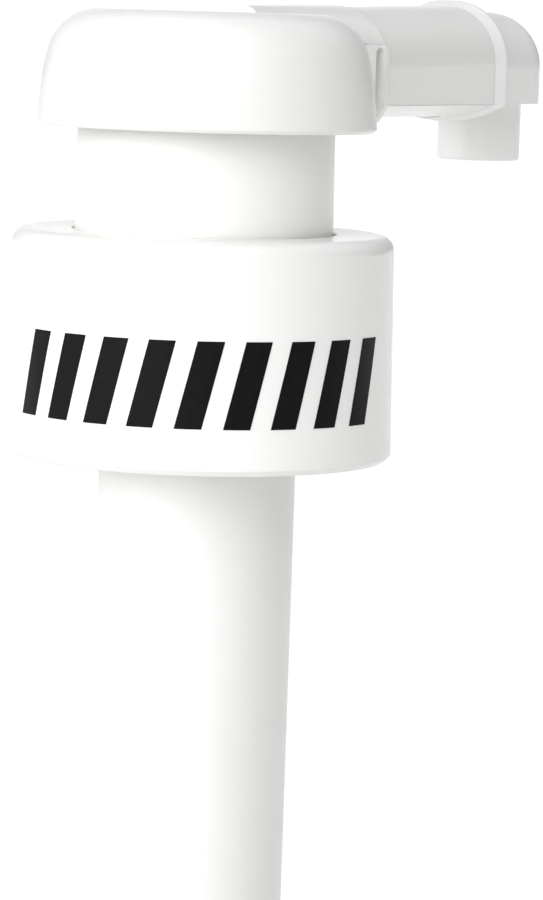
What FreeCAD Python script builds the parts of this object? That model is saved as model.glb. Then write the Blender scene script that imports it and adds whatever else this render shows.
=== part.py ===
import FreeCAD, Part
import Sketcher
import math
import os
from FreeCAD import Vector

# Screw-on syrup and sauce pump for a 28 mm bottle neck, in millimetres, +Z up.
# Origin: on the pump axis, in the plane where the neck gasket seals on the bottle.
# The spout points along +X. The pump is drawn locked down, at the bottom of its stroke.

doc = FreeCAD.newDocument("condiment_pump")

SIZES = [
    # closure collar
    ("rim_radius", 17.5), ("shoulder_radius", 17.2), ("rim_level", -14.0), ("deck_level", 6.2),
    ("deck_under", 4.6), ("deck_hole", 11.87), ("shell_inside", 16.0), ("shoulder_round", 1.3),
    ("liner_outside", 15.95), ("liner_inside", 14.2), ("thread_crest", 13.3), ("thread_pitch", 4.23),
    # parts clamped on the bottle lip
    ("flange_radius", 12.7), ("gasket_inside", 9.4), ("gasket_top", 1.5), ("flange_top", 3.0),
    # chaplet
    ("chaplet_foot", 11.69), ("chaplet_head", 11.57), ("chaplet_top", 15.7), ("chaplet_bore", 8.8),
    ("plug_radius", 7.85), ("plug_end", -2.2), ("guide_radius", 4.58), ("chaplet_flange", 4.3),
    # housing
    ("bore_radius", 7.9), ("housing_top_radius", 9.0), ("housing_low_radius", 8.79),
    ("bore_floor", -64.2), ("socket_radius", 6.0), ("socket_end", -78.0), ("foot_outside", 7.3),
    # plunger
    ("stem_radius", 4.5), ("stem_bore", 2.8), ("stem_top", 16.8), ("stem_end", -42.2),
    ("core_radius", 6.0), ("core_end", -48.2), ("core_top", -38.0), ("seal_radius", 7.86),
    ("stroke", 38.0), ("upper_ball", 3.0), ("lower_ball", 3.5),
    # actuator head
    ("head_rim_level", 15.4), ("head_rim_radius", 15.3), ("head_level", 25.8), ("skirt_inside", 13.7),
    ("ceiling_level", 24.4),
    # spout
    ("arm_half", 6.2), ("arm_foot", 17.5), ("arm_belly", 16.1), ("arm_root", 22.3), ("arm_end", 45.0),
    ("arm_root_top", 26.6), ("arm_end_top", 27.1), ("arm_wall", 1.3), ("arm_corner", 5.6),
    ("flange_proud", 0.3), ("flange_length", 0.95), ("slit_width", 1.05), ("slit_top", 22.9),
    ("block_start", 13.2), ("block_start_half", 4.7), ("block_foot", 15.9),
    ("tube_level", 20.6), ("tube_radius", 3.6), ("channel_radius", 2.5),
    ("ring_end", 47.1), ("ring_ramp", 1.3), ("ring_proud", 0.55), ("cap_half", 6.0), ("cap_top", 26.6),
    ("nozzle_axis", 54.2), ("nozzle_radius", 4.22), ("nozzle_bore", 3.0), ("nozzle_end", 11.6),
    # dip tube
    ("dip_radius", 3.5), ("dip_bore", 2.5), ("dip_top", -81.0), ("dip_end", -230.0),
    ("wire", 0.5), ("coil_radius", 6.2), ("coil_pitch", 1.25), ("coil_foot", -62.05),
]

sheet = doc.addObject("Spreadsheet::Sheet", "Dims")
VALUE = {}
for row, (alias, value) in enumerate(SIZES, start=1):
    sheet.set("A%d" % row, alias)
    sheet.set("B%d" % row, str(value))
    sheet.setAlias("B%d" % row, alias)
    VALUE[alias] = value
doc.recompute()


class Size:
    """A length with its value and the formula that gives it from the sheet."""

    def __init__(self, value, text):
        self.value = value
        self.text = text

    def __add__(self, other):
        other = size(other)
        return Size(self.value + other.value, "(%s + %s)" % (self.text, other.text))

    def __sub__(self, other):
        other = size(other)
        return Size(self.value - other.value, "(%s - %s)" % (self.text, other.text))

    def __mul__(self, other):
        other = size(other)
        return Size(self.value * other.value, "(%s * %s)" % (self.text, other.text))

    def root(self):
        return Size(math.sqrt(self.value), "sqrt(%s)" % self.text)

    def __neg__(self):
        return Size(-self.value, "(0 - %s)" % self.text)


def size(x):
    if isinstance(x, Size):
        return x
    if isinstance(x, str):
        return Size(VALUE[x], "Dims.%s" % x)
    return Size(float(x), "%.4f" % x)


def new_body(name):
    body = doc.addObject("PartDesign::Body", name)
    body.Label = name
    return body


def plane_of(body, role):
    for feature in body.Origin.OriginFeatures:
        if feature.Role == role:
            return feature


def new_sketch(body, name, role="XZ_Plane", offset=0.0):
    sk = body.newObject("Sketcher::SketchObject", name)
    sk.AttachmentSupport = [(plane_of(body, role), "")]
    sk.MapMode = "FlatFace"
    offset = size(offset)
    sk.AttachmentOffset = FreeCAD.Placement(Vector(0, 0, offset.value), FreeCAD.Rotation())
    if offset.text != "0.0000":
        sk.setExpression("AttachmentOffset.Base.z", offset.text)
    return sk


def pin_point(sk, geo, pos, x, y):
    """Hold one point of a sketch at x, y, both driven by the sheet."""
    for kind, axis, want in (("DistanceX", -2, x), ("DistanceY", -1, y)):
        if abs(want.value) < 1e-9:
            sk.addConstraint(Sketcher.Constraint("PointOnObject", geo, pos, axis))
        else:
            n = sk.addConstraint(Sketcher.Constraint(kind, -1, 1, geo, pos, want.value))
            sk.setExpression("Constraints[%d]" % n, want.text)


def outline(sk, points):
    """A closed outline. Each point is (x, y), or (x, y, bend): the edge that leaves it is an arc
    of that radius, which turns left when the radius is positive."""
    pts = []
    for p in points:
        pts.append((size(p[0]), size(p[1]), p[2] if len(p) > 2 else None))
    first = None
    previous = None
    halfway = []
    for i, (x, y, bend) in enumerate(pts):
        x2, y2, _ = pts[(i + 1) % len(pts)]
        x2 = size(x2)
        y2 = size(y2)
        a = Vector(x.value, y.value, 0)
        b = Vector(x2.value, y2.value, 0)
        if bend is None:
            geo = sk.addGeometry(Part.LineSegment(a, b), False)
            start, end = 1, 2
        else:
            bend = size(bend)
            chord = b - a
            half = chord.Length / 2
            radius = abs(bend.value)
            rise = radius - math.sqrt(max(radius * radius - half * half, 0.0))
            side = Vector(chord.y, -chord.x, 0).normalize()
            if bend.value < 0:
                side = side * -1
            middle = (a + b) * 0.5 + side * rise
            # arcs are always stored counter-clockwise
            if bend.value > 0:
                geo = sk.addGeometry(Part.Arc(a, middle, b), False)
                start, end = 1, 2
            else:
                geo = sk.addGeometry(Part.Arc(b, middle, a), False)
                start, end = 2, 1
            if radius - half > 1e-6:
                n = sk.addConstraint(Sketcher.Constraint("Radius", geo, radius))
                text = bend.text if bend.value > 0 else "(0 - %s)" % bend.text
                sk.setExpression("Constraints[%d]" % n, text)
            else:
                halfway.append((geo, x, y, x2, y2))
        pin_point(sk, geo, start, x, y)
        if previous is not None:
            sk.addConstraint(Sketcher.Constraint("Coincident", previous[0], previous[1], geo, start))
        else:
            first = (geo, start)
        previous = (geo, end)
    sk.addConstraint(Sketcher.Constraint("Coincident", previous[0], previous[1], first[0], first[1]))
    # a half circle is held by its centre
    for geo, x, y, x2, y2 in halfway:
        level = abs(y.value - y2.value) < 1e-9
        kind, axis, want = ("DistanceY", -1, y) if level else ("DistanceX", -2, x)
        if abs(want.value) < 1e-9:
            sk.addConstraint(Sketcher.Constraint("PointOnObject", geo, 3, axis))
        else:
            n = sk.addConstraint(Sketcher.Constraint(kind, -1, 1, geo, 3, want.value))
            sk.setExpression("Constraints[%d]" % n, want.text)


def circle(sk, x, y, radius):
    x = size(x)
    y = size(y)
    radius = size(radius)
    geo = sk.addGeometry(Part.Circle(Vector(x.value, y.value, 0), Vector(0, 0, 1), radius.value))
    if abs(x.value) < 1e-9 and abs(y.value) < 1e-9:
        sk.addConstraint(Sketcher.Constraint("Coincident", geo, 3, -1, 1))
    else:
        pin_point(sk, geo, 3, x, y)
    n = sk.addConstraint(Sketcher.Constraint("Radius", geo, radius.value))
    sk.setExpression("Constraints[%d]" % n, radius.text)


def turned(body, name, points, cut=False):
    """Turn an (r, z) outline about the pump axis, to add or to cut."""
    sk = new_sketch(body, name + "_profile")
    outline(sk, points)
    kind = "PartDesign::Groove" if cut else "PartDesign::Revolution"
    feature = body.newObject(kind, name)
    feature.Profile = sk
    feature.ReferenceAxis = (sk, ["V_Axis"])
    feature.Angle = 360.0
    doc.recompute()
    return feature


def padded(body, name, sk, length, cut=False, back=False, both=False):
    """Extrude a sketch. back goes against the sketch's normal."""
    kind = "PartDesign::Pocket" if cut else "PartDesign::Pad"
    feature = body.newObject(kind, name)
    feature.Profile = sk
    length = size(length)
    feature.Length = length.value
    feature.setExpression("Length", length.text)
    feature.Reversed = back
    feature.Midplane = both
    before = body.Shape.Volume if not body.Shape.isNull() else 0.0
    doc.recompute()
    change = feature.Shape.Volume - before
    if (cut and change > -1e-3) or (not cut and change < 1e-3):
        raise RuntimeError("%s changed nothing" % name)
    return feature


def lofted(body, name, sketches, cut=False):
    kind = "PartDesign::SubtractiveLoft" if cut else "PartDesign::AdditiveLoft"
    feature = body.newObject(kind, name)
    feature.Profile = sketches[0]
    feature.Sections = sketches[1:]
    feature.Ruled = True
    doc.recompute()
    return feature


def coiled(body, name, points, pitch, height, cut=False):
    """Wind an (r, z) outline about the pump axis."""
    sk = new_sketch(body, name + "_profile")
    outline(sk, points)
    kind = "PartDesign::SubtractiveHelix" if cut else "PartDesign::AdditiveHelix"
    feature = body.newObject(kind, name)
    feature.Profile = sk
    feature.ReferenceAxis = (sk, ["V_Axis"])
    feature.Mode = 0
    pitch = size(pitch)
    feature.Pitch = pitch.value
    feature.setExpression("Pitch", pitch.text)
    feature.Height = float(height)
    doc.recompute()
    return feature


def edges_where(shape, test):
    return ["Edge%d" % (i + 1) for i, e in enumerate(shape.Edges) if test(e)]


def softened(body, name, test, radius, chamfer=False):
    base = body.Tip
    feature = body.newObject("PartDesign::Chamfer" if chamfer else "PartDesign::Fillet", name)
    feature.Base = (base, edges_where(base.Shape, test))
    if chamfer:
        feature.Size = radius
    else:
        feature.Radius = radius
    doc.recompute()
    return feature


def ring_edge(radius, level, slack=0.02):
    """Test for a round edge about the pump axis."""
    def test(e):
        if e.Curve.TypeId != "Part::GeomCircle":
            return False
        c = e.Curve.Center
        centred = math.hypot(c.x, c.y) < 1e-6
        return centred and abs(e.Curve.Radius - radius) < slack and abs(c.z - level) < slack
    return test


def closure_shell():
    b = new_body("closure_shell")
    turned(b, "shell_turn", [
        ("deck_hole", "deck_under"), ("deck_hole", "deck_level"),
        (size("shoulder_radius") - "shoulder_round", "deck_level", -size("shoulder_round")),
        ("shoulder_radius", size("deck_level") - "shoulder_round"),
        ("rim_radius", size("rim_level") + 0.5),
        (size("rim_radius") - 0.5, "rim_level"),
        (size("shell_inside") + 0.3, "rim_level"),
        ("shell_inside", size("rim_level") + 0.3),
        ("shell_inside", "deck_under"),
    ])
    softened(b, "deck_edge", ring_edge(VALUE["deck_hole"], VALUE["deck_level"]), 0.15)
    return b


def closure_liner():
    b = new_body("closure_liner")
    low = size("rim_level") + 0.6
    turned(b, "liner_turn", [
        ("liner_inside", 3.9), ("liner_outside", 3.9), ("liner_outside", low),
        (size("liner_inside") + 0.9, low), ("liner_inside", low + 0.9),
    ])
    crest = size("thread_crest")
    root = size("liner_inside") + 0.3
    coiled(b, "neck_thread", [
        (root, -11.6), (root, -9.3), (crest, -9.95), (crest, -10.75),
    ], "thread_pitch", 7.4)
    # shallow keys that lock the liner in the shell
    sk = new_sketch(b, "key_profile", "XY_Plane", low)
    outline(sk, [(15.2, -0.8), (16.5, -0.8), (16.5, 0.8), (15.2, 0.8)])
    key = padded(b, "key_slot", sk, 2.2, cut=True, back=True)
    ring = b.newObject("PartDesign::PolarPattern", "key_slots")
    ring.Originals = [key]
    ring.Axis = (sk, ["N_Axis"])
    ring.Angle = 360
    ring.Occurrences = 12
    b.Tip = ring
    doc.recompute()
    return b


def neck_gasket():
    b = new_body("neck_gasket")
    sk = new_sketch(b, "gasket_plan", "XY_Plane")
    circle(sk, 0, 0, "flange_radius")
    circle(sk, 0, 0, "gasket_inside")
    padded(b, "gasket_ring", sk, "gasket_top")
    return b


def chaplet():
    b = new_body("chaplet")
    turned(b, "chaplet_turn", [
        ("guide_radius", 1.0), ("guide_radius", 3.6), (6.4, 3.6), (6.4, 6.0),
        ("chaplet_bore", 6.0), ("chaplet_bore", size("chaplet_top") - 0.5),
        (size("chaplet_bore") + 0.5, "chaplet_top"),
        (size("chaplet_head") - 0.5, "chaplet_top", -0.5),
        ("chaplet_head", size("chaplet_top") - 0.5),
        ("chaplet_foot", "chaplet_flange"),
        ("flange_radius", "chaplet_flange"), ("flange_radius", "flange_top"),
        ("plug_radius", "flange_top"), ("plug_radius", size("plug_end") + 0.4),
        (size("plug_radius") - 0.4, "plug_end"), (6.5, "plug_end"), (6.5, 1.0),
    ])
    bore = size("chaplet_bore")
    coiled(b, "lock_groove", [
        (bore - 0.3, 8.1), (bore + 0.55, 8.55), (bore + 0.55, 9.15), (bore - 0.3, 9.6),
    ], 3.0, 7.5, cut=True)
    return b


def stem_wiper():
    b = new_body("stem_wiper")
    lip = size("stem_radius") + 0.05
    turned(b, "wiper_turn", [
        (lip, 3.75), (6.3, 3.75), (6.3, 5.8), (5.9, 5.8), (5.5, 4.9), (5.1, 5.9), (lip, 5.9),
        (lip, 5.5), (4.8, 5.0), (4.8, 4.5), (lip, 4.1),
    ])
    return b


def pump_housing():
    b = new_body("pump_housing")
    bore = size("bore_radius")
    turned(b, "housing_turn", [
        (bore, "flange_top"), ("flange_radius", "flange_top"),
        ("flange_radius", "gasket_top"), ("housing_top_radius", "gasket_top"),
        ("housing_low_radius", -65.0), (7.5, -69.0), ("foot_outside", -69.8),
        ("foot_outside", "socket_end"), ("socket_radius", "socket_end"),
        ("socket_radius", "bore_floor"), (bore, "bore_floor"),
    ])
    # air inlet beside the top of the stroke, so that air replaces what is pumped
    sk = new_sketch(b, "vent_plan", "YZ_Plane", 0)
    circle(sk, 0, -5.0, 0.6)
    padded(b, "vent_hole", sk, 12.0, cut=True, back=True)
    return b


def ball_cage():
    b = new_body("ball_cage")
    sk = new_sketch(b, "cage_plan", "XY_Plane", "bore_floor")
    circle(sk, 0, 0, size("bore_radius") - 0.1)
    padded(b, "cage_disc", sk, 1.6)
    port = new_sketch(b, "port_plan", "XY_Plane", size("bore_floor") + 1.6)
    circle(port, 4.0, 0, 1.35)
    hole = padded(b, "cage_port", port, 1.6, cut=True)
    ring = b.newObject("PartDesign::PolarPattern", "cage_ports")
    ring.Originals = [hole]
    ring.Axis = (port, ["N_Axis"])
    ring.Angle = 360
    ring.Occurrences = 6
    b.Tip = ring
    doc.recompute()
    return b


def foot_fitting():
    b = new_body("foot_fitting")
    turned(b, "fitting_turn", [
        (2.4, -72.0), (4.0, -70.4), (4.6, -70.4), (4.6, -66.6), (size("socket_radius") - 0.03, -66.6),
        (size("socket_radius") - 0.03, "socket_end"), ("foot_outside", "socket_end"),
        ("foot_outside", size("socket_end") - 1.5), (4.8, size("socket_end") - 2.4),
        (4.7, -91.0), (4.2, -91.6), ("dip_radius", -91.6), ("dip_radius", "dip_top"), (2.4, "dip_top"),
    ])
    return b


def piston_core():
    b = new_body("piston_core")
    turned(b, "core_turn", [
        (2.0, "core_end"), (7.3, "core_end"), (7.3, size("core_end") + 1.3),
        ("core_radius", size("core_end") + 1.3), ("core_radius", "core_top"),
        ("stem_radius", "core_top"), ("stem_radius", -42.2), (3.8, -42.2), (3.8, -45.4), (2.0, -47.2),
    ])
    return b


def piston_seal():
    b = new_body("piston_seal")
    lip = size("seal_radius")
    hub = size("core_radius") + 0.05
    low = -46.6
    top = -40.6
    turned(b, "seal_turn", [
        (hub, low + 0.6), (6.7, low + 0.6), (7.3, low), (lip, low), (lip, low + 0.8), (7.0, low + 2.2),
        (7.0, top - 2.2), (lip, top - 0.8), (lip, top), (7.3, top), (6.7, top - 1.5), (hub, top - 1.5),
    ])
    return b


def plunger_stem():
    b = new_body("plunger_stem")
    turned(b, "stem_turn", [
        ("stem_bore", "stem_end"), ("stem_radius", "stem_end"),
        ("stem_radius", size("stem_top") - 0.5), (size("stem_radius") - 0.5, "stem_top"),
        ("stem_bore", "stem_top"),
    ])
    # cross slots keep the way open when the ball is lifted against the stem
    for name, across, along in (("slot_x", 1.4, 12.0), ("slot_y", 12.0, 1.4)):
        sk = new_sketch(b, name + "_plan", "XY_Plane", "stem_end")
        outline(sk, [(-along / 2, -across / 2), (along / 2, -across / 2),
                     (along / 2, across / 2), (-along / 2, across / 2)])
        padded(b, name, sk, 2.6, cut=True, back=True)
    return b


def arm_outline(half, top, corner, foot, belly=None):
    """Section of the spout across its length, as (y, z): upright sides, a rounded top and,
    if there is a belly, a shallow curved underside."""
    half = size(half)
    top = size(top)
    corner = size(corner)
    foot = size(foot)
    pts = [(half, foot), (half, top - corner, corner), (half - corner, top), (-(half - corner), top, corner),
           (-half, top - corner)]
    if belly is None:
        pts.append((-half, foot))
    else:
        belly = size(belly)
        drop = foot - belly
        bend = (half * half.value + drop * drop.value) * (0.5 / drop.value)
        pts.append((-half, foot, bend))
    return pts


def block_outline(half, foot, top, chamfer):
    """Section of the root block and flange, as (y, z), narrower at its foot."""
    low = foot + chamfer
    return [(half - 1.0, foot), (half, low), (half, top), (-half, top), (-half, low), (-(half - 1.0), foot)]


def saddle_outline(half, top, corner, foot):
    """The upper part of the spout's section, as (y, z), ending at the foot level."""
    centre = half - corner
    drop = foot - (top - corner)
    side = centre + (corner * corner - drop * drop).root()
    return [(side, foot, corner), (centre, top), (-centre, top, corner), (-side, foot)]


def actuator_head():
    b = new_body("actuator_head")
    rim = size("head_rim_radius")
    top = size("head_level")
    low = size("head_rim_level")
    wall = size("skirt_inside")
    turned(b, "head_turn", [
        (0, "ceiling_level"), (0, top), (10.1, top, -4.33), (12.25, top - 0.66, -4.75),
        (14.3, top - 3.3, -17.45), (15.02, top - 7.0), (rim, low + 0.3), (rim - 0.3, low),
        (wall, low), (wall - 0.3, 21.4, 3.0), (wall - 3.3, "ceiling_level"),
    ])
    # saddle that carries the spout down off the crown
    proud = size("flange_proud")
    root_half = size("arm_half") + proud
    sections = []
    for n, x, half, high, round_, foot in (
        (0, 5.0, size(2.4), size(26.45), size(1.9), size(24.9)),
        (1, "arm_root", root_half, size("arm_root_top") + proud * 0.5, size("arm_corner") + proud,
         size("slit_top")),
    ):
        sk = new_sketch(b, "saddle_section_%d" % n, "YZ_Plane", x)
        outline(sk, saddle_outline(half, high, round_, foot))
        sections.append(sk)
    lofted(b, "saddle", sections)
    # flared root block below the saddle, from the skirt out to the root flange
    block_top = size("slit_top") + 0.3
    sections = []
    for n, x, half, foot in (
        (0, size("block_start"), size("block_start_half"), size("block_foot") + 0.4),
        (1, size("arm_root") - 0.1, root_half, size("block_foot")),
    ):
        sk = new_sketch(b, "block_section_%d" % n, "YZ_Plane", x)
        outline(sk, block_outline(half, foot, block_top, 1.6))
        sections.append(sk)
    lofted(b, "root_block", sections)
    # narrow slit between the block and the flange
    slit_end = size("arm_root") - "flange_length"
    sk = new_sketch(b, "slit_section", "XZ_Plane", 0.0)
    start = slit_end - "slit_width"
    tip = size("slit_width") * 0.5
    outline(sk, [(start, 15.0), (slit_end, 15.0), (slit_end, size("slit_top") - tip, tip),
                 (start, size("slit_top") - tip)])
    padded(b, "root_slit", sk, 15.0, cut=True, both=True)
    # root flange, a little deeper and wider than the arm
    sk = new_sketch(b, "flange_section", "YZ_Plane", size("arm_root") - "flange_length")
    outline(sk, block_outline(root_half, size("block_foot"), block_top, 1.6))
    padded(b, "root_flange", sk, "flange_length")
    # hood over the spout channel
    sections = []
    for n, x, high in ((0, "arm_root", "arm_root_top"), (1, "arm_end", "arm_end_top")):
        sk = new_sketch(b, "hood_section_%d" % n, "YZ_Plane", x)
        outline(sk, arm_outline("arm_half", high, "arm_corner", "arm_foot"))
        sections.append(sk)
    lofted(b, "hood", sections)
    sections = []
    wall = size("arm_wall")
    for n, x, high in ((0, size("arm_root") + 0.2, "arm_root_top"),
                       (1, size("arm_end") + 0.5, "arm_end_top")):
        sk = new_sketch(b, "hollow_section_%d" % n, "YZ_Plane", x)
        outline(sk, arm_outline(size("arm_half") - wall, size(high) - wall, size("arm_corner") - wall,
                                size("arm_foot") - 1.0))
        sections.append(sk)
    lofted(b, "hood_hollow", sections, cut=True)
    # way for the spout channel through the skirt and the flange, open below
    sk = new_sketch(b, "way_section", "YZ_Plane", 2.0)
    gap = size("tube_radius") + 0.3
    outline(sk, [(gap, 14.0), (gap, "tube_level", gap), (-gap, "tube_level"), (-gap, 14.0)])
    padded(b, "channel_way", sk, size("arm_root") - 1.3, cut=True, back=True)
    return b


def spout_channel():
    b = new_body("spout_channel")
    turned(b, "socket_turn", [
        ("stem_radius", 8.0), (7.9, 8.0), (7.9, 15.9), (7.4, 16.4), (5.4, 16.9), (5.4, 23.2), (4.6, 24.1),
        (0, 24.1), (0, "stem_top"), ("stem_radius", "stem_top"),
    ])
    sk = new_sketch(b, "tube_section", "YZ_Plane", 0)
    circle(sk, 0, "tube_level", "tube_radius")
    padded(b, "tube", sk, "arm_end")
    # curved belly that closes the underside of the hood
    sk = new_sketch(b, "belly_section", "YZ_Plane", size("arm_root") + 0.1)
    half = size("arm_half")
    inner = half - size("arm_wall") - 0.1
    foot = size("arm_foot")
    drop = VALUE["arm_foot"] - VALUE["arm_belly"]
    bend = (half * half.value + drop * drop) * (0.5 / drop)
    outline(sk, [(half, foot), (inner, foot), (inner, foot + 0.8), (-inner, foot + 0.8),
                 (-inner, foot), (-half, foot, bend)])
    padded(b, "belly", sk, size("arm_end") - "arm_root" - 0.1)
    sk = new_sketch(b, "channel_section", "YZ_Plane", "arm_end")
    circle(sk, 0, "tube_level", "channel_radius")
    padded(b, "channel", sk, "arm_end", cut=True)
    sk = new_sketch(b, "riser_plan", "XY_Plane", "tube_level")
    circle(sk, 0, 0, "channel_radius")
    padded(b, "riser", sk, 5.0, cut=True)
    coiled(b, "lock_thread", [
        (7.7, 8.4), (7.7, 9.8), (8.4, 9.35), (8.4, 8.85),
    ], 3.0, 5.0)
    return b


def spout_o_ring():
    ring = doc.addObject("Part::Torus", "spout_o_ring")
    ring.Radius1 = 3.95
    ring.Radius2 = 0.33
    ring.Placement = FreeCAD.Placement(Vector(44.6, 0, 0), FreeCAD.Rotation(Vector(0, 1, 0), 90))
    ring.setExpression("Placement.Base.x", "Dims.arm_end - 1.3")
    ring.setExpression("Placement.Base.z", "Dims.tube_level")
    ring.Label = "spout_o_ring"
    return ring


def spout_end_cap():
    b = new_body("spout_end_cap")
    # closed end with a half-round plan about the nozzle axis
    sk = new_sketch(b, "cap_plan", "XY_Plane", "arm_foot")
    start = size("arm_end") + 0.5
    outline(sk, [(start, -size("cap_half")), ("nozzle_axis", -size("cap_half"), "cap_half"),
                 ("nozzle_axis", "cap_half"), (start, "cap_half")])
    padded(b, "cap", sk, size("cap_top") - "arm_foot")
    top = VALUE["cap_top"]

    def crown_edge(e):
        flat = abs(e.BoundBox.ZMin - top) < 1e-4 and abs(e.BoundBox.ZMax - top) < 1e-4
        return flat and e.BoundBox.XLength > 0.1

    softened(b, "cap_round", crown_edge, 5.5)
    proud = size("ring_proud")
    # bead that wraps the whole section where the cap meets the arm
    ramp_start = size("arm_end") + 0.02
    sections = []
    for n, x, out in ((0, ramp_start, size(0.02)), (1, ramp_start + "ring_ramp", proud)):
        sk = new_sketch(b, "ring_ramp_section_%d" % n, "YZ_Plane", x)
        outline(sk, arm_outline(size("arm_half") + out, size("arm_end_top") + out,
                                size("arm_corner") + out, "arm_foot", size("arm_belly") - out))
        sections.append(sk)
    lofted(b, "ring_slope", sections)
    sk = new_sketch(b, "ring_section", "YZ_Plane", ramp_start + "ring_ramp")
    outline(sk, arm_outline(size("arm_half") + proud, size("arm_end_top") + proud,
                            size("arm_corner") + proud, "arm_foot", size("arm_belly") - proud))
    padded(b, "ring", sk, size("ring_end") - "arm_end" - 0.02 - "ring_ramp")

    def bead_edge(e):
        if e.BoundBox.XLength > 1e-3:
            return False
        at_end = abs(e.BoundBox.XMin - VALUE["ring_end"]) < 1e-3
        middle = e.valueAt((e.FirstParameter + e.LastParameter) / 2)
        reach = VALUE["arm_half"] + VALUE["ring_proud"]
        outer = abs(abs(middle.y) - reach) < 1e-3 or middle.z > 26.9 or middle.z < VALUE["arm_foot"] - 0.2
        corner = VALUE["arm_corner"] + VALUE["ring_proud"]
        round_edge = e.Curve.TypeId == "Part::GeomCircle" and abs(e.Curve.Radius - corner) < 0.01
        return at_end and (outer or round_edge)

    softened(b, "bead_round", bead_edge, 0.4)
    sk = new_sketch(b, "nozzle_plan", "XY_Plane", "nozzle_end")
    circle(sk, "nozzle_axis", 0, "nozzle_radius")
    padded(b, "nozzle", sk, size("arm_foot") - "nozzle_end" + 0.5)
    # socket over the end of the spout tube
    sk = new_sketch(b, "socket_section", "YZ_Plane", size("arm_end") - 2.6)
    circle(sk, 0, "tube_level", 4.75)
    circle(sk, 0, "tube_level", size("tube_radius") + 0.02)
    padded(b, "tube_socket", sk, 3.0)
    sk = new_sketch(b, "seal_seat_section", "YZ_Plane", size("arm_end") - 0.9)
    circle(sk, 0, "tube_level", 4.3)
    padded(b, "seal_seat", sk, 0.8, cut=True)
    sk = new_sketch(b, "inlet_section", "YZ_Plane", "nozzle_axis")
    circle(sk, 0, "tube_level", "channel_radius")
    padded(b, "inlet", sk, size("nozzle_axis") - "arm_end", cut=True)
    sk = new_sketch(b, "outlet_plan", "XY_Plane", "nozzle_end")
    circle(sk, "nozzle_axis", 0, "nozzle_bore")
    padded(b, "outlet", sk, size("tube_level") - "nozzle_end", cut=True, back=True)
    low = VALUE["nozzle_end"]

    def tip_edge(e):
        return abs(e.BoundBox.ZMax - low) < 1e-4

    softened(b, "tip_round", tip_edge, 0.3)
    return b


def ball(name, radius, level):
    part = doc.addObject("Part::Sphere", name)
    part.setExpression("Radius", "Dims.%s" % radius)
    part.Placement.Base = Vector(0, 0, level)
    part.Label = name
    return part


def return_spring():
    path = doc.addObject("Part::Helix", "spring_path")
    path.setExpression("Pitch", "Dims.coil_pitch")
    path.Height = 13.0
    path.setExpression("Radius", "Dims.coil_radius")
    section = doc.addObject("Part::Circle", "spring_wire")
    section.setExpression("Radius", "Dims.wire")
    section.Placement = FreeCAD.Placement(Vector(6.2, 0, 0), FreeCAD.Rotation(Vector(1, 0, 0), 90))
    section.setExpression("Placement.Base.x", "Dims.coil_radius")
    spring = doc.addObject("Part::Sweep", "return_spring")
    spring.Sections = [section]
    spring.Spine = (path, ["Edge1"])
    spring.Solid = True
    spring.Frenet = True
    spring.Placement.Base = Vector(0, 0, -62.05)
    spring.setExpression("Placement.Base.z", "Dims.coil_foot")
    spring.Label = "return_spring"
    return spring


def dip_tube():
    outer = doc.addObject("Part::Cylinder", "dip_outside")
    inner = doc.addObject("Part::Cylinder", "dip_inside")
    for part, radius, extra in ((outer, "dip_radius", 0), (inner, "dip_bore", 1)):
        part.setExpression("Radius", "Dims.%s" % radius)
        part.setExpression("Height", "Dims.dip_top - Dims.dip_end + %d" % (2 * extra))
        part.setExpression("Placement.Base.z", "Dims.dip_end - %d" % extra)
    tube = doc.addObject("Part::Cut", "dip_wall")
    tube.Base = outer
    tube.Tool = inner
    bevel = doc.addObject("Part::Box", "dip_bevel")
    bevel.Length = 20
    bevel.Width = 20
    bevel.Height = 12
    bevel.Placement = FreeCAD.Placement(Vector(-3.5, -10, -242), FreeCAD.Rotation(Vector(0, 1, 0), -30))
    bevel.setExpression("Placement.Base.z", "Dims.dip_end - 10.4")
    cut = doc.addObject("Part::Cut", "dip_tube")
    cut.Base = tube
    cut.Tool = bevel
    cut.Label = "dip_tube"
    return cut


NODES = [
    closure_shell(), closure_liner(), neck_gasket(), chaplet(), stem_wiper(), pump_housing(),
    ball_cage(), foot_fitting(), dip_tube(), return_spring(), piston_core(), piston_seal(),
    plunger_stem(), actuator_head(), spout_channel(), spout_o_ring(), spout_end_cap(),
    ball("upper_check_ball", "upper_ball", -44.86), ball("lower_check_ball", "lower_ball", -69.35),
]
doc.recompute()

for part in doc.Objects:
    for state in ("Invalid", "Error"):
        if state in part.State:
            raise RuntimeError("%s is in state %s" % (part.Name, part.State))

os.makedirs("parts", exist_ok=True)
for part in NODES:
    shape = part.Shape
    if shape.isNull() or not shape.isValid() or len(shape.Solids) != 1:
        raise RuntimeError("%s: %d solids, valid %s" % (part.Label, len(shape.Solids), shape.isValid()))
    shape.exportStep("parts/%s.step" % part.Label)
    box = shape.BoundBox
    print("%-18s %9.1f mm3  x %.2f %.2f  y %.2f %.2f  z %.2f %.2f" % (
        part.Label, shape.Volume, box.XMin, box.XMax, box.YMin, box.YMax, box.ZMin, box.ZMax))
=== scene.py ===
import math

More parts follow.
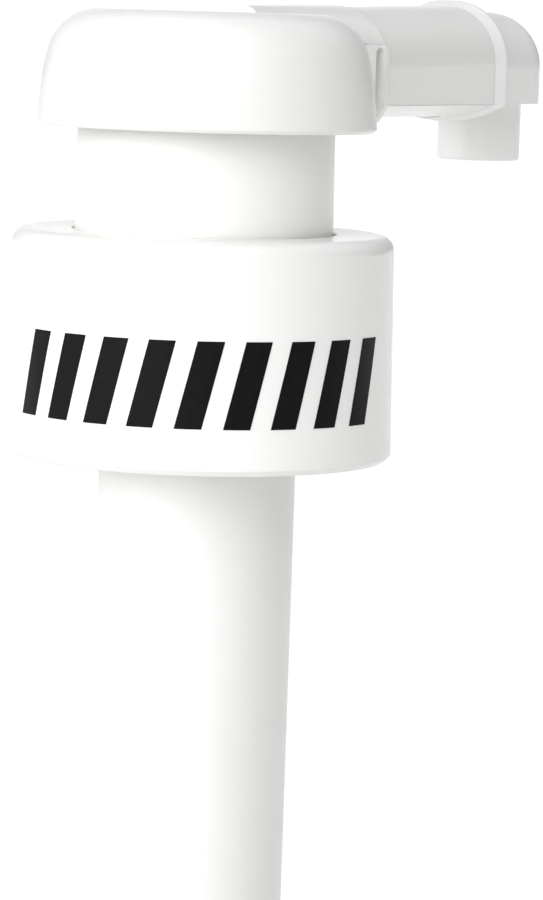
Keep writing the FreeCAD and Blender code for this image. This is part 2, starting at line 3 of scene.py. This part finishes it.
import bmesh
import bpy
from mathutils import Matrix, Vector
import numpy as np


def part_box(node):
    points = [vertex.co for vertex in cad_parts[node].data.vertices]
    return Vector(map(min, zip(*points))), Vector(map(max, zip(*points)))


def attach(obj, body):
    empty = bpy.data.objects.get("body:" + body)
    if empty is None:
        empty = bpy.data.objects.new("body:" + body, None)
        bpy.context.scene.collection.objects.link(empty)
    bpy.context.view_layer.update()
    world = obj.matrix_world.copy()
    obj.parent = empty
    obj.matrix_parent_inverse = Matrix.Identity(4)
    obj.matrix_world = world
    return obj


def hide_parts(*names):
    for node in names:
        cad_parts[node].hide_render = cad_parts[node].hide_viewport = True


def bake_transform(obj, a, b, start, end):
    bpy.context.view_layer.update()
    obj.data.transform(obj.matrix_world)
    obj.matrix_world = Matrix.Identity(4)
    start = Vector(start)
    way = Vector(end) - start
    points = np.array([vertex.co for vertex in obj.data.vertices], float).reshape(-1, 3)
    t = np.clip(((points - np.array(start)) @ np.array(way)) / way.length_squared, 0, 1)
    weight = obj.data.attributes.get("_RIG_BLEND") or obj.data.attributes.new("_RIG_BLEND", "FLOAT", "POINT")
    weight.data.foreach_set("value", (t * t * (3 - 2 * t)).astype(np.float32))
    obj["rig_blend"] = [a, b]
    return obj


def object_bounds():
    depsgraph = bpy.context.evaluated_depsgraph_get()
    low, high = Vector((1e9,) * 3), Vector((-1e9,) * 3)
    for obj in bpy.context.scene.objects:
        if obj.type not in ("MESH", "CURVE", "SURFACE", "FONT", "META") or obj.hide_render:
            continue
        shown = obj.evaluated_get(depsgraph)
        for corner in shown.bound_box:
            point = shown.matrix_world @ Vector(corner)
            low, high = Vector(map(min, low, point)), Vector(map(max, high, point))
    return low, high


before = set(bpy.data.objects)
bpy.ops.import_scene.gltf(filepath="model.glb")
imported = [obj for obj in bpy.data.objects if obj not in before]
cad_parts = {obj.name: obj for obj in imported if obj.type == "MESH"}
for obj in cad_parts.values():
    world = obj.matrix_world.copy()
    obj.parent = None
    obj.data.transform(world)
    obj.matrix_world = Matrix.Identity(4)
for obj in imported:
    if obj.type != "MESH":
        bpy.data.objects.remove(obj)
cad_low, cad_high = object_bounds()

# Every length is in metres unless its name says otherwise, and every angle in radians.
MM = 0.001
scene = bpy.context.scene


# ---------------------------------------------------------------- node helpers
EDGE_GAIN = 6.0  # how fast the edge mask rises with the turn of the surface


class Graph:
    """Short-hand for building the node tree of a material or the world."""

    def __init__(self, owner, output="ShaderNodeOutputMaterial"):
        self.owner = owner
        owner.use_nodes = True
        self.tree = owner.node_tree
        self.tree.nodes.clear()
        self.out = self.node(output)

    def node(self, kind, **values):
        """A new node. Values go to its properties or, where it has no such property, to its sockets."""
        made = self.tree.nodes.new(kind)
        for key, value in values.items():
            if hasattr(made, key):
                setattr(made, key, value)
            else:
                made.inputs[key.replace("_", " ")].default_value = value
        return made

    def link(self, a, b):
        self.tree.links.new(a, b)

    def feed(self, socket, value):
        """Set a socket to a number or a colour, or link it to another node's output."""
        if isinstance(value, (int, float)):
            socket.default_value = value
        elif isinstance(value, tuple):
            socket.default_value = (*value, 1.0)
        else:
            self.link(value, socket)

    def surface(self):
        """The principled shader, linked to the output."""
        shader = self.node("ShaderNodeBsdfPrincipled")
        self.link(shader.outputs["BSDF"], self.out.inputs["Surface"])
        return shader

    def coords(self):
        return self.node("ShaderNodeTexCoord").outputs["Object"]

    def noise(self, scale, detail=3.0, roughness=0.5, stretch=None):
        """3-D noise in object space; scale is in features per metre."""
        source = self.coords()
        if stretch:
            mapping = self.node("ShaderNodeMapping")
            mapping.inputs["Scale"].default_value = stretch
            self.link(source, mapping.inputs["Vector"])
            source = mapping.outputs["Vector"]
        n = self.node("ShaderNodeTexNoise", Scale=scale, Detail=detail, Roughness=roughness)
        self.link(source, n.inputs["Vector"])
        return n.outputs["Fac"]

    def ramp(self, fac, stops):
        n = self.node("ShaderNodeValToRGB")
        while len(n.color_ramp.elements) < len(stops):
            n.color_ramp.elements.new(0.5)
        for element, (at, color) in zip(n.color_ramp.elements, stops):
            element.position = at
            element.color = (*color, 1.0)
        self.link(fac, n.inputs["Fac"])
        return n.outputs["Color"]

    def span(self, fac, low, high, from_low=0.0, from_high=1.0):
        """Map from_low..from_high to low..high."""
        n = self.node("ShaderNodeMapRange", From_Min=from_low, From_Max=from_high, To_Min=low, To_Max=high)
        self.link(fac, n.inputs["Value"])
        return n.outputs["Result"]

    def mix(self, fac, a, b, blend="MIX"):
        n = self.node("ShaderNodeMix", data_type="RGBA", blend_type=blend)
        for socket, value in ((n.inputs[0], fac), (n.inputs[6], a), (n.inputs[7], b)):
            self.feed(socket, value)
        return n.outputs[2]

    def math(self, op, a, b=0.0):
        n = self.node("ShaderNodeMath", operation=op)
        self.feed(n.inputs[0], a)
        self.feed(n.inputs[1], b)
        return n.outputs[0]

    def edge(self, radius):
        """A mask, 0 on flat ground and 1 on edges, and the normal with its edges rounded."""
        bevel = self.node("ShaderNodeBevel", samples=4)
        bevel.inputs["Radius"].default_value = radius
        geometry = self.node("ShaderNodeNewGeometry")
        dot = self.node("ShaderNodeVectorMath", operation="DOT_PRODUCT")
        self.link(bevel.outputs["Normal"], dot.inputs[0])
        self.link(geometry.outputs["Normal"], dot.inputs[1])
        inverse = self.math("SUBTRACT", 1.0, dot.outputs["Value"])
        clamp = self.node("ShaderNodeClamp")
        self.link(self.math("MULTIPLY", inverse, EDGE_GAIN), clamp.inputs["Value"])
        return clamp.outputs["Result"], bevel.outputs["Normal"]

    def bump(self, height, distance, strength=1.0, normal=None):
        n = self.node("ShaderNodeBump", Strength=strength, Distance=distance)
        self.link(height, n.inputs["Height"])
        if normal is not None:
            self.link(normal, n.inputs["Normal"])
        return n.outputs["Normal"]


def new_material(name):
    return Graph(bpy.data.materials.new(name))


# ---------------------------------------------------------------- materials
# Painted highlight: the plastics' edges are lightened towards this near-white.
EDGE_HIGHLIGHT_TONE = (0.96, 0.96, 0.95)
EDGE_HIGHLIGHT_SHARE = 0.35
SPECK_AMOUNT = 0.35
PLASTIC_EDGE = 0.18 * MM
RUBBER_EDGE = 0.12 * MM
PLASTIC_IOR = 1.49


def translucent(shader, weight, radius, depth):
    shader.inputs["Subsurface Weight"].default_value = weight
    shader.inputs["Subsurface Radius"].default_value = radius
    shader.inputs["Subsurface Scale"].default_value = depth


def moulded_plastic(name, light, shade, rough, grain=0.6, sub=0.08):
    """White moulded plastic: faint flow clouding, a fine mould texture, edges lightened as a painted
    highlight, soft translucency.
    """
    g = new_material(name)
    shader = g.surface()
    color = g.ramp(g.noise(60.0, 1.5, 0.4), [(0.25, shade), (0.75, light)])
    # Painted highlight: the colour is lightened along the edges by the edge mask.
    highlight_mask, rounded = g.edge(PLASTIC_EDGE)
    color = g.mix(g.math("MULTIPLY", highlight_mask, EDGE_HIGHLIGHT_SHARE), color, EDGE_HIGHLIGHT_TONE)
    specks = g.ramp(g.noise(2600.0, 2.0, 0.5), [(0.70, (1.0, 1.0, 1.0)), (0.80, (0.93, 0.92, 0.90))])
    g.link(g.mix(SPECK_AMOUNT, color, specks, "MULTIPLY"), shader.inputs["Base Color"])
    smudge = g.noise(120.0, 2.0, 0.45)
    g.link(g.span(smudge, *rough), shader.inputs["Roughness"])
    shader.inputs["IOR"].default_value = PLASTIC_IOR
    translucent(shader, sub, (1.0, 0.95, 0.85), 1.2 * MM)
    texture = g.bump(g.noise(900.0, 3.0, 0.6), 0.008 * MM * grain, 0.3, rounded)
    wave = g.bump(g.noise(110.0, 1.0, 0.4), 0.02 * MM, 0.25, texture)
    g.link(wave, shader.inputs["Normal"])
    return g.owner


def rubbery(name, light, dark, rough, pores):
    """Foam or rubber with fine pores."""
    g = new_material(name)
    shader = g.surface()
    cells = g.node("ShaderNodeTexVoronoi", Scale=pores)
    g.link(g.coords(), cells.inputs["Vector"])
    g.link(g.ramp(g.noise(300.0, 4.0, 0.6), [(0.3, dark), (0.7, light)]), shader.inputs["Base Color"])
    g.link(g.span(g.noise(700.0), rough - 0.08, rough + 0.1), shader.inputs["Roughness"])
    _, rounded = g.edge(RUBBER_EDGE)
    g.link(g.bump(cells.outputs["Distance"], 0.03 * MM, 0.5, rounded), shader.inputs["Normal"])
    return g.owner


def steel(name, color, rough, lines):
    """Bright steel with fine drawing or polishing lines."""
    g = new_material(name)
    shader = g.surface()
    scratch = g.noise(lines, 4.0, 0.7, stretch=(1.0, 1.0, 9.0))
    tone = g.ramp(scratch, [(0.35, tuple(c * 0.82 for c in color)), (0.65, color)])
    g.link(tone, shader.inputs["Base Color"])
    shader.inputs["Metallic"].default_value = 1.0
    g.link(g.span(scratch, rough, rough + 0.16), shader.inputs["Roughness"])
    g.link(g.bump(scratch, 0.004 * MM, 0.4), shader.inputs["Normal"])
    return g.owner


def natural_tube(name):
    """Unpigmented extruded tube, milky and faintly streaked along its length."""
    g = new_material(name)
    shader = g.surface()
    streak = g.noise(420.0, 4.0, 0.6, stretch=(1.0, 1.0, 0.03))
    color = g.ramp(streak, [(0.32, (0.70, 0.73, 0.72)), (0.66, (0.86, 0.88, 0.86))])
    g.link(color, shader.inputs["Base Color"])
    g.link(g.span(streak, 0.30, 0.46), shader.inputs["Roughness"])
    translucent(shader, 0.35, (1.0, 1.0, 1.0), 2.0 * MM)
    g.link(g.bump(streak, 0.02 * MM, 0.5), shader.inputs["Normal"])
    return g.owner


def ink(name):
    """Matt black pad print with slightly uneven cover."""
    g = new_material(name)
    shader = g.surface()
    cover = g.noise(1500.0, 4.0, 0.7)
    color = g.ramp(cover, [(0.25, (0.0075, 0.0072, 0.0072)), (0.75, (0.0030, 0.0030, 0.0031))])
    g.link(color, shader.inputs["Base Color"])
    g.link(g.span(g.noise(800.0), 0.30, 0.44), shader.inputs["Roughness"])
    shader.inputs["Specular IOR Level"].default_value = 0.09
    g.link(g.bump(cover, 0.004 * MM, 0.5), shader.inputs["Normal"])
    return g.owner


# Each plastic has a light tone, a shaded tone and a span of roughness.
GLOSS = moulded_plastic("white_gloss_plastic", (0.875, 0.870, 0.852), (0.865, 0.859, 0.840), (0.23, 0.28))
# The chaplet is tinted warmer than the other white plastics as painted shade, for the warm bounce light in
# the shade under the push head.
NECK = moulded_plastic("chaplet_plastic", (0.900, 0.892, 0.862), (0.890, 0.881, 0.849), (0.26, 0.32))
COLLAR = moulded_plastic("collar_gloss_plastic", (0.880, 0.875, 0.858), (0.872, 0.866, 0.848), (0.22, 0.27))
BARREL = moulded_plastic("barrel_plastic", (0.862, 0.857, 0.842), (0.852, 0.847, 0.831), (0.28, 0.34))
SPOUT = moulded_plastic("spout_gloss_plastic", (0.860, 0.857, 0.848), (0.848, 0.845, 0.836), (0.22, 0.28))
SATIN = moulded_plastic("white_satin_plastic", (0.82, 0.82, 0.79), (0.76, 0.76, 0.72), (0.38, 0.52),
                        grain=1.4, sub=0.12)
SEAL = moulded_plastic("seal_plastic", (0.74, 0.77, 0.75), (0.66, 0.69, 0.67), (0.30, 0.42), sub=0.4)
FOAM = rubbery("foam_gasket", (0.80, 0.78, 0.72), (0.70, 0.68, 0.62), rough=0.62, pores=2600.0)
NITRILE = rubbery("nitrile_rubber", (0.045, 0.045, 0.047), (0.022, 0.022, 0.024), rough=0.42, pores=1900.0)
SPRING = steel("drawn_spring_wire", (0.62, 0.61, 0.59), rough=0.24, lines=900.0)
BALL = steel("polished_ball", (0.72, 0.72, 0.71), rough=0.10, lines=600.0)
TUBE = natural_tube("natural_tube_plastic")
INK = ink("black_pad_print")

LOOKS = {
    "closure_shell": COLLAR, "closure_liner": SATIN, "neck_gasket": FOAM, "chaplet": NECK,
    "stem_wiper": SEAL, "pump_housing": BARREL, "ball_cage": SATIN, "foot_fitting": SATIN,
    "dip_tube": TUBE, "return_spring": SPRING, "piston_core": SATIN, "piston_seal": SEAL,
    "plunger_stem": SATIN, "actuator_head": GLOSS, "spout_channel": SPOUT, "spout_o_ring": NITRILE,
    "spout_end_cap": SPOUT, "upper_check_ball": BALL, "lower_check_ball": BALL,
}
for node_name, material in LOOKS.items():
    node_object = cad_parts[node_name]
    node_object.data.materials.clear()
    node_object.data.materials.append(material)


def add_object(name, mesh, material):
    made = bpy.data.objects.new(name, mesh)
    scene.collection.objects.link(made)
    mesh.materials.append(material)
    return made


# ---------------------------------------------------------------- print on the collar
CAMERA_TURN = math.radians(-149.0)  # direction from the pump axis to the camera
PRINT_HEIGHTS = (-9.9 * MM, -2.3 * MM)
PRINT_HALF_ANGLE = math.radians(63.0)
BAR_COUNT = 9
BAR_SHARE, SLANT_SHARE = 0.56, 0.44  # a bar's width and lean, as shares of the pitch
INK_BACK, INK_FACE = 0.004 * MM, 0.03 * MM  # the ink's two sides, out from the collar
CELLS_ACROSS, CELLS_UP = 10, 8

# The collar's outer wall tapers from its rim to its shoulder.
RIM_RADIUS, SHOULDER_RADIUS = 17.5 * MM, 17.2 * MM
TAPER_FOOT, TAPER_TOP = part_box("closure_shell")[0][2] + 0.5 * MM, 4.9 * MM


def on_collar(turn, z, proud):
    share = (z - TAPER_FOOT) / (TAPER_TOP - TAPER_FOOT)
    radius = RIM_RADIUS + (SHOULDER_RADIUS - RIM_RADIUS) * share + proud
    return radius * math.cos(turn), radius * math.sin(turn), z


def bar_grid(bm, start, pitch, proud):
    """Vertices of one side of a bar, row by row from its foot."""
    low, high = PRINT_HEIGHTS
    rows = []
    for j in range(CELLS_UP + 1):
        rise = j / CELLS_UP
        first = CAMERA_TURN + start + SLANT_SHARE * pitch * rise
        rows.append([
            bm.verts.new(on_collar(first + BAR_SHARE * pitch * i / CELLS_ACROSS,
                                   low + (high - low) * rise, proud))
            for i in range(CELLS_ACROSS + 1)
        ])
    return rows


def ink_bar(bm, start, pitch):
    """One slanted bar as a closed thin skin."""
    outer = bar_grid(bm, start, pitch, INK_FACE)
    inner = bar_grid(bm, start, pitch, INK_BACK)
    last, top = CELLS_ACROSS, CELLS_UP
    for j in range(top):
        for i in range(last):
            bm.faces.new((outer[j][i], outer[j][i + 1], outer[j + 1][i + 1], outer[j + 1][i]))
            bm.faces.new((inner[j][i], inner[j + 1][i], inner[j + 1][i + 1], inner[j][i + 1]))
    for j in range(top):
        bm.faces.new((outer[j][0], outer[j + 1][0], inner[j + 1][0], inner[j][0]))
        bm.faces.new((outer[j + 1][last], outer[j][last], inner[j][last], inner[j + 1][last]))
    for i in range(last):
        bm.faces.new((outer[0][i + 1], outer[0][i], inner[0][i], inner[0][i + 1]))
        bm.faces.new((outer[top][i], outer[top][i + 1], inner[top][i + 1], inner[top][i]))


def collar_print():
    """A band of slanted bars, laid on the collar."""
    bm = bmesh.new()
    pitch = 2 * PRINT_HALF_ANGLE / BAR_COUNT
    for bar in range(BAR_COUNT):
        ink_bar(bm, -PRINT_HALF_ANGLE + bar * pitch, pitch)
    mesh = bpy.data.meshes.new("collar_print")
    bm.normal_update()
    bm.to_mesh(mesh)
    bm.free()
    printed = add_object("collar_print", mesh, INK)
    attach(printed, "collar")


collar_print()


# ---------------------------------------------------------------- return spring
WIRE_RADIUS = 0.5 * MM
END_PITCH = 1.02 * MM  # the end turns lie on their neighbours
SPRING_TURNS = 10.4
WIRE_RINGS, WIRE_SIDES = 520, 14


def spring_path(share, foot, head):
    """Angle and height of the wire's centre, share 0 to 1 along the coil, closed at both ends."""
    turn = share * SPRING_TURNS
    open_pitch = (head - foot - 2 * END_PITCH) / (SPRING_TURNS - 2)
    height = END_PITCH * min(turn, 1.0)
    height += open_pitch * min(max(turn - 1.0, 0.0), SPRING_TURNS - 2)
    height += END_PITCH * max(turn - (SPRING_TURNS - 1), 0.0)
    return turn * 2 * math.pi, foot + height


def spring_coil():
    """The wire as a swept tube. Each ring of the wire follows the piston by its place along the coil."""
    low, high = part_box("return_spring")
    coil_radius = (high[0] - low[0]) / 2 - WIRE_RADIUS
    bm = bmesh.new()
    loops, shares = [], []
    for i in range(WIRE_RINGS + 1):
        share = i / WIRE_RINGS
        turn, height = spring_path(share, low[2] + WIRE_RADIUS, high[2] - WIRE_RADIUS)
        outward = Vector((math.cos(turn), math.sin(turn), 0.0))
        centre = outward * coil_radius + Vector((0.0, 0.0, height))
        loop = []
        for k in range(WIRE_SIDES):
            a = 2 * math.pi * k / WIRE_SIDES
            offset = outward * math.cos(a) + Vector((0.0, 0.0, math.sin(a)))
            loop.append(bm.verts.new(centre + offset * WIRE_RADIUS))
            shares.append(share)
        loops.append(loop)
    for here, there in zip(loops, loops[1:]):
        for k in range(WIRE_SIDES):
            after = (k + 1) % WIRE_SIDES
            bm.faces.new((here[k], there[k], there[after], here[after]))
    bm.faces.new(loops[0])
    bm.faces.new(tuple(reversed(loops[-1])))
    for face in bm.faces:
        face.smooth = len(face.verts) == 4
    mesh = bpy.data.meshes.new("spring_coil")
    bm.to_mesh(mesh)
    bm.free()
    coil = add_object("spring_coil", mesh, SPRING)
    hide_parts("return_spring")
    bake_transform(coil, "base", "piston", start=(0.0, 0.0, low[2]), end=(0.0, 0.0, high[2]))
    mesh.attributes["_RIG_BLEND"].data.foreach_set("value", shares)


spring_coil()


# ---------------------------------------------------------------- floor
FLOOR_Z = cad_low[2] - 0.5 * MM
FLOOR_HALF = 150.0
# The floor glows faintly with painted light, more so far from the object, standing in for a lit studio
# floor.
GLOW_NEAR, GLOW_FAR = 0.03, 0.30
GLOW_START, GLOW_FULL = 0.30, 0.75


def floor_material():
    g = new_material("pale_floor")
    shader = g.surface()
    tone = g.ramp(g.noise(3.0, 2.0, 0.5), [(0.3, (0.940, 0.934, 0.920)), (0.7, (0.955, 0.949, 0.935))])
    g.link(tone, shader.inputs["Base Color"])
    shader.inputs["Roughness"].default_value = 0.9
    shader.inputs["Emission Color"].default_value = (1.0, 0.99, 0.97, 1.0)
    across = g.node("ShaderNodeVectorMath", operation="LENGTH")
    g.link(g.coords(), across.inputs[0])
    glow = g.span(across.outputs["Value"], GLOW_NEAR, GLOW_FAR, GLOW_START, GLOW_FULL)
    g.link(glow, shader.inputs["Emission Strength"])
    return g.owner


def pale_floor():
    corners = [(x * FLOOR_HALF, y * FLOOR_HALF, FLOOR_Z) for x, y in ((-1, -1), (1, -1), (1, 1), (-1, 1))]
    mesh = bpy.data.meshes.new("floor")
    mesh.from_pydata(corners, [], [(0, 1, 2, 3)])
    floor = add_object("floor", mesh, floor_material())


pale_floor()


# ---------------------------------------------------------------- light
# Soft studio light: broad glowing panels all round, each named by where it stands from the camera's side.
# A panel is (degrees to the right of the camera, degrees up, strength, hardness): harder is smaller.
# The strengths began as a rounded least-squares fit to the photo's shading. front_left, left_front, left
# and high_back_right are still as rounded; the others were then set one by one.
PANELS = {
    "front_left": (330, 14, 3.70, 12), "left_front": (300, 14, 3.00, 12), "left": (270, 14, 1.00, 12),
    "right": (90, 14, 0.10, 12), "back": (180, 14, 0.75, 12), "backdrop": (180, 3, 0.75, 60),
    "high_front": (0, 45, 2.10, 12), "high_right": (75, 45, 0.28, 12),
    "high_back_right": (135, 45, 1.25, 12), "overhead": (0, 85, 0.60, 12),
}
LIGHT_TINT = (0.980, 0.987, 1.0)
SKY_SEEN = 0.97


def panel_direction(turn, rise):
    """From the object to a panel, with the camera's side at turn 0 and its right at 90."""
    heading = CAMERA_TURN + math.radians(turn)
    level = math.cos(math.radians(rise))
    return math.cos(heading) * level, math.sin(heading) * level, math.sin(math.radians(rise))


def studio_world():
    """Each panel glows by exp((cosine to its centre - 1) * hardness) * strength."""
    g = Graph(bpy.data.worlds.new("studio"), "ShaderNodeOutputWorld")
    background = g.node("ShaderNodeBackground")
    background.inputs["Color"].default_value = (*LIGHT_TINT, 1.0)
    g.link(background.outputs["Background"], g.out.inputs["Surface"])
    look = g.node("ShaderNodeTexCoord").outputs["Generated"]
    total = 0.0
    for turn, rise, strength, hardness in PANELS.values():
        facing = g.node("ShaderNodeVectorMath", operation="DOT_PRODUCT")
        facing.inputs[1].default_value = panel_direction(turn, rise)
        g.link(look, facing.inputs[0])
        falloff = g.math("MULTIPLY", g.math("SUBTRACT", facing.outputs["Value"], 1.0), hardness)
        total = g.math("ADD", total, g.math("MULTIPLY", g.math("EXPONENT", falloff), strength))
    # what the camera sees past the floor is never darker than the pale floor; this lights nothing
    camera_ray = g.node("ShaderNodeLightPath").outputs["Is Camera Ray"]
    seen = g.math("MULTIPLY", camera_ray, SKY_SEEN)
    g.link(g.math("MAXIMUM", total, seen), background.inputs["Strength"])
    return g.owner


scene.world = studio_world()
scene.view_settings.view_transform = "Standard"


# ---------------------------------------------------------------- camera
# At the photo's angle: level with the push head and on the far side of the axis from the spout.
DISTANCE = 328.5 * MM
HEIGHT = 25.5 * MM
LENS_MM, SENSOR_MM = 145.8, 36.0
TURN_IN, LOOK_DOWN, LEAN = 0.0204, 0.1183, 0.0306
CLIP_START, CLIP_END = 0.01, 500.0


def photo_camera():
    data = bpy.data.cameras.new("camera")
    data.lens = LENS_MM
    data.sensor_width = SENSOR_MM
    data.clip_start, data.clip_end = CLIP_START, CLIP_END
    camera = bpy.data.objects.new("camera", data)
    scene.collection.objects.link(camera)

    spin = Matrix.Rotation(CAMERA_TURN + math.pi / 2, 3, "Z")  # takes (0, -1) to the camera's side
    level = math.cos(LOOK_DOWN)
    ahead = spin @ Vector((math.sin(TURN_IN) * level, math.cos(TURN_IN) * level, -math.sin(LOOK_DOWN)))
    right = spin @ Vector((math.cos(TURN_IN), -math.sin(TURN_IN), 0.0))
    up = right.cross(ahead)
    leaned_right = math.cos(LEAN) * right + math.sin(LEAN) * up
    leaned_up = -math.sin(LEAN) * right + math.cos(LEAN) * up
    place = spin @ Vector((0.0, -DISTANCE, 0.0)) + Vector((0.0, 0.0, HEIGHT))
    rows = [(*across, at) for across, at in zip(zip(leaned_right, leaned_up, -ahead), place)]
    camera.matrix_world = Matrix((*rows, (0.0, 0.0, 0.0, 1.0)))
    return camera


scene.camera = photo_camera()
